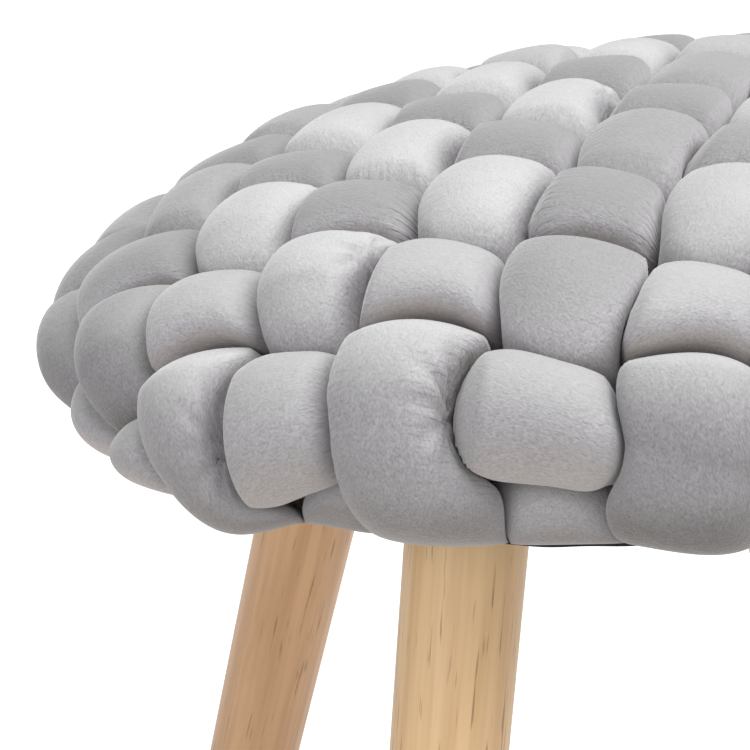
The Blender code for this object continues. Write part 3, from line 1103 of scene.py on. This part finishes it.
@dataclass
class Base:
    """The board and the legs, which keep their solids."""

    leg_degrees: tuple[float, ...] = (-100.4, -12.7, 77.3, 169.6)
    splay: float = radians(18.5)
    top_offset: float = 0.1147
    top_height: float = 0.3202
    # Each leg's light and dark wood colour, partly the wood's own tone and partly painted light and
    # shade: the first leg is painted lighter than the others.
    tones: tuple[tuple[Colour, Colour], ...] = (
        ((0.83, 0.57, 0.31), (0.7, 0.44, 0.22)),
        ((0.7, 0.46, 0.24), (0.56, 0.33, 0.16)),
        ((0.74, 0.5, 0.26), (0.6, 0.37, 0.18)),
        ((0.72, 0.44, 0.24), (0.57, 0.33, 0.17)),
    )

    def leg_line(self, number: int) -> tuple[Vector, Vector]:
        """A leg's foot and its direction upwards.

        Args:
            number: Number of the leg, from 0.

        Returns:
            The foot and the unit direction.
        """
        outward = circle_point(1, radians(self.leg_degrees[number])).to_3d()
        foot = outward * (self.top_offset + self.top_height * tan(self.splay))
        top = outward * self.top_offset + Vector((0, 0, self.top_height))
        return foot, (top - foot).normalized()

    def dress(self) -> None:
        """Gives the solids their finishes."""
        self.paint("base_board", Board("board_wood_grain").material())
        for number, tones in enumerate(self.tones):
            wood = LegWood(f"leg_wood_{number + 1}", *self.leg_line(number), *tones)
            self.paint(f"leg_{number + 1}", wood.material())

    @staticmethod
    def paint(node: str, material: Material) -> None:
        """Puts a material on a carried-over solid.

        Args:
            node: Name of the solid.
            material: The material.
        """
        for slot in bpy.data.objects[node].material_slots:
            slot.material = material
        LOG.info("%s dressed with %s", node, material.name)


@dataclass
class UnderCover:
    """The thin black cloth stretched under the board and cut out round the legs."""

    base: Base
    radius: float = 0.141
    top: float = 0.3199
    thickness: float = 0.0012
    cut: float = 0.3
    hole_radius: float = 0.0216
    spacing: float = 0.0032
    slack: float = 0.0008
    pleats: int = 34
    pleat_depth: float = 0.6
    pleat_start: float = 0.7
    pleat_width: float = 0.3
    rim_points: int = 300
    hole_points: int = 48
    hole_gap: float = 0.4
    hole_trim: float = 0.985

    def holes(self) -> list[tuple[Vector, float]]:
        """The leg holes.

        Returns:
            Each hole's middle and direction.
        """
        base = self.base
        out = base.top_offset + (base.top_height - self.top) * tan(base.splay)
        turns = [radians(degrees) for degrees in base.leg_degrees]
        return [(circle_point(out, turn), turn) for turn in turns]

    def oval(self, middle: Vector, turn: float, long: float) -> list[Vector]:
        """Points round a leg hole, longer in the leg's direction.

        Args:
            middle: Middle of the hole.
            turn: Direction of the leg.
            long: Half the hole's length in that direction.

        Returns:
            The points.
        """
        points = []
        cosine, sine = cos(turn), sin(turn)
        for step in range(self.hole_points):
            angle = 2 * pi * step / self.hole_points
            along, across = long * cos(angle), self.hole_radius * sin(angle)
            spot = Vector((along * cosine - across * sine, along * sine + across * cosine))
            points.append(middle + spot)
        return points

    def height(self, point: Vector) -> float:
        """Height of the cloth, which hangs in the middle and puckers at its stapled edge.

        Args:
            point: A point of the cloth, from above.

        Returns:
            The height.
        """
        share = point.length / self.radius
        turn = atan2(point.y, point.x)
        pleat = 0.5 + 0.5 * sin(self.pleats * turn + 1.7 * sin(3 * turn))
        near_edge = max(share - self.pleat_start, 0) / self.pleat_width
        pucker = self.pleat_depth * self.slack * pleat * near_edge
        return self.top - self.slack * (1 - share ** 2) - pucker

    def build(self) -> None:
        """Makes the cloth."""
        rim = self.rim_points
        points = [
            circle_point(self.radius, turn)
            for turn in np.linspace(0, 2 * pi, rim, endpoint=False)]
        edges = [(step, (step + 1) % rim) for step in range(rim)]
        long = self.hole_radius / cos(self.base.splay)
        clear = long + self.hole_gap * self.spacing
        holes = self.holes()
        for middle, turn in holes:
            first, count = len(points), self.hole_points
            points += self.oval(middle, turn, long)
            edges += [(first + step, first + (step + 1) % count) for step in range(count)]
        rings = int(self.radius / self.spacing)
        for ring in range(1, rings):
            out = self.radius * ring / rings
            count = max(6, int(2 * pi * out / self.spacing))
            for step in range(count):
                spot = circle_point(out, 2 * pi * (step + 0.5 * (ring % 2)) / count)
                if all((spot - middle).length > clear for middle, _ in holes):
                    points.append(spot)
        made, _, faces, *_ = delaunay_2d_cdt(points, edges, [], 0, 1e-7)
        kept = []
        for face in faces:
            middle = sum((made[corner] for corner in face), Vector((0, 0))) / len(face)
            if all((middle - hole).length > self.hole_trim * self.hole_radius for hole, _ in holes):
                kept.append(face)
        mesh = bpy.data.meshes.new("stretched_under_cover")
        mesh.from_pydata([(point.x, point.y, self.height(point)) for point in made], [], kept)
        piece = add_object(mesh.name, mesh)
        solid = piece.modifiers.new("thickness", "SOLIDIFY")
        solid.thickness = self.thickness
        solid.offset = -1
        apply_modifiers(piece)
        bpy.ops.object.shade_smooth_by_angle(angle=radians(50))
        piece.data.materials.append(PlainCloth("black_cover_cloth", 0.012).material())
        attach(piece, BODY)
        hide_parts("under_cover")
        area = pi * (self.radius ** 2 - len(holes) * long * self.hole_radius)
        LOG.info("stretched_under_cover: %d faces", len(piece.data.polygons))


# ---- studio ----
@dataclass
class Studio:
    """Pale floor, soft light and the camera."""

    floor_size: float = 24.0
    floor_drop: float = 0.0005
    floor_level: float = 0.4
    floor_glow: float = 0.84
    glow_start: float = -0.15
    glow_end: float = 0.28
    near_glow: float = 0.25
    sky: float = 0.5
    key_power: float = 46.0
    key_size: float = 2.0
    key_from: Colour = (0.7, -0.05, 1.85)
    fill_power: float = 9.5
    fill_size: float = 1.6
    fill_from: Colour = (-0.2, -1.7, 0.7)
    aim: Colour = (0, 0, 0.37)
    eye: Colour = (0.2278, -0.8447, 0.6593)
    yaw: float = radians(20.82)
    pitch: float = radians(20.69)
    roll: float = radians(-4.96)
    lens: float = 121.5
    sensor: float = 36.0

    def build(self) -> None:
        """Makes the floor, the lights, the sky and the camera."""
        self.lay_floor()
        self.light("key", self.key_from, self.key_power, self.key_size)
        self.light("fill", self.fill_from, self.fill_power, self.fill_size)
        world = bpy.data.worlds.new("studio")
        world.use_nodes = True
        background = world.node_tree.nodes["Background"]
        background.inputs["Color"].default_value = (1, 1, 1, 1)
        background.inputs["Strength"].default_value = self.sky
        scene = bpy.context.scene
        scene.world = world
        scene.view_settings.view_transform = "Standard"
        scene.view_settings.look = "None"
        self.aim_camera()

    def lay_floor(self) -> None:
        """Lays the floor, which shines more behind the seat than in front of it."""
        deselect()
        bpy.ops.mesh.primitive_plane_add(size=self.floor_size, location=(0, 0, -self.floor_drop))
        floor = bpy.context.object
        floor.name = floor.data.name = "floor"
        bpy.ops.object.transform_apply(location=True)
        paint = Paint("white_floor")
        behind = paint.value("ShaderNodeSeparateXYZ", {}, {0: paint.own()}, "Y")
        share = behind.ramp(self.glow_start, self.glow_end)
        lit = paint.blend(share, grey(self.near_glow), grey(1.0))
        floor.data.materials.append(paint.finish(grey(self.floor_level), 0.9, {
            "Emission Color": lit, "Emission Strength": self.floor_glow,
            "Specular IOR Level": 0.0}))

    def light(self, name: str, place: Colour, power: float, size: float) -> None:
        """Adds a soft light that shines at the seat.

        Args:
            name: Name of the light.
            place: Where it stands.
            power: Its power in watts.
            size: Its width.
        """
        lamp = bpy.data.lights.new(name, "AREA")
        lamp.energy = power
        lamp.size = size
        made = add_object(name, lamp)
        made.location = place
        heading = Vector(self.aim) - Vector(place)
        made.rotation_euler = heading.to_track_quat("-Z", "Y").to_euler()

    def aim_camera(self) -> None:
        """Puts the camera where the photograph was taken from."""
        forward = Vector((
            -sin(self.yaw) * cos(self.pitch), cos(self.yaw) * cos(self.pitch),
            -sin(self.pitch)))
        level = Vector((cos(self.yaw), sin(self.yaw), 0))
        above = level.cross(forward)
        right = cos(self.roll) * level + sin(self.roll) * above
        up = -sin(self.roll) * level + cos(self.roll) * above
        stand = Matrix((right, up, -forward)).transposed().to_4x4()
        stand.translation = Vector(self.eye)
        lens = bpy.data.cameras.new("camera")
        lens.sensor_width = self.sensor
        lens.lens = self.lens
        camera = add_object("camera", lens)
        camera.matrix_world = stand
        bpy.context.scene.camera = camera


def main() -> None:
    """Builds the stool's looks, the studio and the camera."""
    logging.basicConfig(level=logging.INFO)
    Studio().build()
    Weave().build()
    SeatPad().build()
    base = Base()
    base.dress()
    UnderCover(base).build()


if __name__ == "__main__":
    main()
